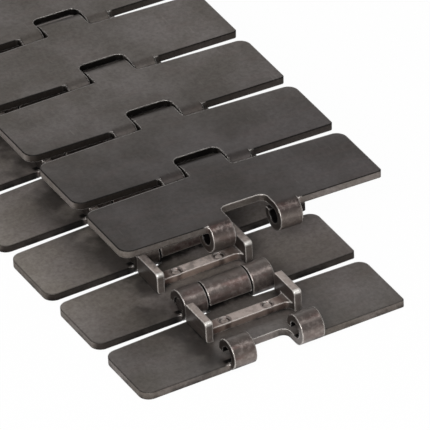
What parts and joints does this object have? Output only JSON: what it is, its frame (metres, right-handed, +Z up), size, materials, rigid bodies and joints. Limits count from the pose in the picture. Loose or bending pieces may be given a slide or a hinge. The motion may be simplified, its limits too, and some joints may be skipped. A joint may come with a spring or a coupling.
{
  "type": "slat top chain",
  "caption": "Side-flexing steel slat top chain with welded guides: two loose pinned lengths, one lying upside down and the other stacked on it.",
  "frame": {"origin": "middle of the footprint, on the surface that the lower length lies on", "axes": "+X along the lower length towards its open fork end, +Z up; Y across the slats"},
  "size_m": [0.2792, 0.1366, 0.0277],
  "materials": {
    "slat_steel": "dark rolled steel, oily, with faint scuffs",
    "worn_slat_steel": "dark rolled steel with brown smudges and worn edges",
    "guide_steel": "bare bent steel, rubbed pale on its strip and tips",
    "pin_steel": "ground steel, lightly oiled"
  },
  "bodies": {
    "lower_link_1": {"lower_slat_1": "worn_slat_steel", "lower_guide_1": "guide_steel"},
    "lower_hinge_pin_1": {"lower_pin_1": "pin_steel"},
    "lower_link_2": {"lower_slat_2": "worn_slat_steel", "lower_guide_2": "guide_steel"},
    "lower_hinge_pin_2": {"lower_pin_2": "pin_steel"},
    "lower_link_3": {"lower_slat_3": "worn_slat_steel", "lower_guide_3": "guide_steel"},
    "lower_hinge_pin_3": {"lower_pin_3": "pin_steel"},
    "lower_link_4": {"lower_slat_4": "worn_slat_steel", "lower_guide_4": "guide_steel"},
    "lower_hinge_pin_4": {"lower_pin_4": "pin_steel"},
    "lower_link_5": {"lower_slat_5": "worn_slat_steel", "lower_guide_5": "guide_steel"},
    "lower_hinge_pin_5": {"lower_pin_5": "pin_steel"},
    "lower_link_6": {"lower_slat_6": "worn_slat_steel", "lower_guide_6": "guide_steel"},
    "lower_hinge_pin_6": {"lower_pin_6": "pin_steel"},
    "lower_link_7": {"lower_slat_7": "worn_slat_steel", "lower_guide_7": "guide_steel"},
    "upper_link_1": {"upper_slat_1": "slat_steel", "upper_guide_1": "guide_steel"},
    "upper_hinge_pin_1": {"upper_pin_1": "pin_steel"},
    "upper_link_2": {"upper_slat_2": "slat_steel", "upper_guide_2": "guide_steel"},
    "upper_hinge_pin_2": {"upper_pin_2": "pin_steel"},
    "upper_link_3": {"upper_slat_3": "slat_steel", "upper_guide_3": "guide_steel"},
    "upper_hinge_pin_3": {"upper_pin_3": "pin_steel"},
    "upper_link_4": {"upper_slat_4": "slat_steel", "upper_guide_4": "guide_steel"},
    "upper_hinge_pin_4": {"upper_pin_4": "pin_steel"},
    "upper_link_5": {"upper_slat_5": "slat_steel", "upper_guide_5": "guide_steel"}
  },
  "joints": [
    {"name": "lower_flex_6", "type": "hinge", "parent": "lower_link_7", "child": "lower_hinge_pin_6", "pos_m": [-0.09525, -0.01118, 0.00628], "axis": [0, -1, 0], "range_deg": [-25, 0]},
    {"name": "lower_side_flex_6", "type": "hinge", "parent": "lower_hinge_pin_6", "child": "lower_link_6", "pos_m": [-0.09525, -0.01118, 0.00628], "axis": [0, 0, 1], "range_deg": [-3.6, 3.6]},
    {"name": "lower_flex_5", "type": "hinge", "parent": "lower_link_6", "child": "lower_hinge_pin_5", "pos_m": [-0.05715, -0.01118, 0.00628], "axis": [0, -1, 0], "range_deg": [-25, 0]},
    {"name": "lower_side_flex_5", "type": "hinge", "parent": "lower_hinge_pin_5", "child": "lower_link_5", "pos_m": [-0.05715, -0.01118, 0.00628], "axis": [0, 0, 1], "range_deg": [-3.6, 3.6]},
    {"name": "lower_flex_4", "type": "hinge", "parent": "lower_link_5", "child": "lower_hinge_pin_4", "pos_m": [-0.01905, -0.01118, 0.00628], "axis": [0, -1, 0], "range_deg": [-25, 0]},
    {"name": "lower_side_flex_4", "type": "hinge", "parent": "lower_hinge_pin_4", "child": "lower_link_4", "pos_m": [-0.01905, -0.01118, 0.00628], "axis": [0, 0, 1], "range_deg": [-3.6, 3.6]},
    {"name": "lower_flex_3", "type": "hinge", "parent": "lower_link_4", "child": "lower_hinge_pin_3", "pos_m": [0.01905, -0.01118, 0.00628], "axis": [0, -1, 0], "range_deg": [-25, 0]},
    {"name": "lower_side_flex_3", "type": "hinge", "parent": "lower_hinge_pin_3", "child": "lower_link_3", "pos_m": [0.01905, -0.01118, 0.00628], "axis": [0, 0, 1], "range_deg": [-3.6, 3.6]},
    {"name": "lower_flex_2", "type": "hinge", "parent": "lower_link_3", "child": "lower_hinge_pin_2", "pos_m": [0.05715, -0.01118, 0.00628], "axis": [0, -1, 0], "range_deg": [-25, 0]},
    {"name": "lower_side_flex_2", "type": "hinge", "parent": "lower_hinge_pin_2", "child": "lower_link_2", "pos_m": [0.05715, -0.01118, 0.00628], "axis": [0, 0, 1], "range_deg": [-3.6, 3.6]},
    {"name": "lower_flex_1", "type": "hinge", "parent": "lower_link_2", "child": "lower_hinge_pin_1", "pos_m": [0.09525, -0.01118, 0.00628], "axis": [0, -1, 0], "range_deg": [-25, 95]},
    {"name": "lower_side_flex_1", "type": "hinge", "parent": "lower_hinge_pin_1", "child": "lower_link_1", "pos_m": [0.09525, -0.01118, 0.00628], "axis": [0, 0, 1], "range_deg": [-3.6, 3.6]},
    {"name": "upper_lift", "type": "slide", "parent": "lower_link_7", "child": "upper_link_5", "axis": [0, 0, 1], "range_m": [0, 0.06]},
    {"name": "upper_flex_4", "type": "hinge", "parent": "upper_link_5", "child": "upper_hinge_pin_4", "pos_m": [-0.07355, 0.01097, 0.01918], "axis": [0, -0.9992, 0.0401], "range_deg": [0, 25]},
    {"name": "upper_side_flex_4", "type": "hinge", "parent": "upper_hinge_pin_4", "child": "upper_link_4", "pos_m": [-0.07355, 0.01097, 0.01918], "axis": [0, 0.0401, 0.9992], "range_deg": [-3.6, 3.6]},
    {"name": "upper_flex_3", "type": "hinge", "parent": "upper_link_4", "child": "upper_hinge_pin_3", "pos_m": [-0.03545, 0.01097, 0.01918], "axis": [0, -0.9992, 0.0401], "range_deg": [0, 25]},
    {"name": "upper_side_flex_3", "type": "hinge", "parent": "upper_hinge_pin_3", "child": "upper_link_3", "pos_m": [-0.03545, 0.01097, 0.01918], "axis": [0, 0.0401, 0.9992], "range_deg": [-3.6, 3.6]},
    {"name": "upper_flex_2", "type": "hinge", "parent": "upper_link_3", "child": "upper_hinge_pin_2", "pos_m": [0.00265, 0.01097, 0.01918], "axis": [0, -0.9992, 0.0401], "range_deg": [0, 25]},
    {"name": "upper_side_flex_2", "type": "hinge", "parent": "upper_hinge_pin_2", "child": "upper_link_2", "pos_m": [0.00265, 0.01097, 0.01918], "axis": [0, 0.0401, 0.9992], "range_deg": [-3.6, 3.6]},
    {"name": "upper_flex_1", "type": "hinge", "parent": "upper_link_2", "child": "upper_hinge_pin_1", "pos_m": [0.04075, 0.01097, 0.01918], "axis": [0, -0.9992, 0.0401], "range_deg": [0, 25]},
    {"name": "upper_side_flex_1", "type": "hinge", "parent": "upper_hinge_pin_1", "child": "upper_link_1", "pos_m": [0.04075, 0.01097, 0.01918], "axis": [0, 0.0401, 0.9992], "range_deg": [-3.6, 3.6]}
  ]
}
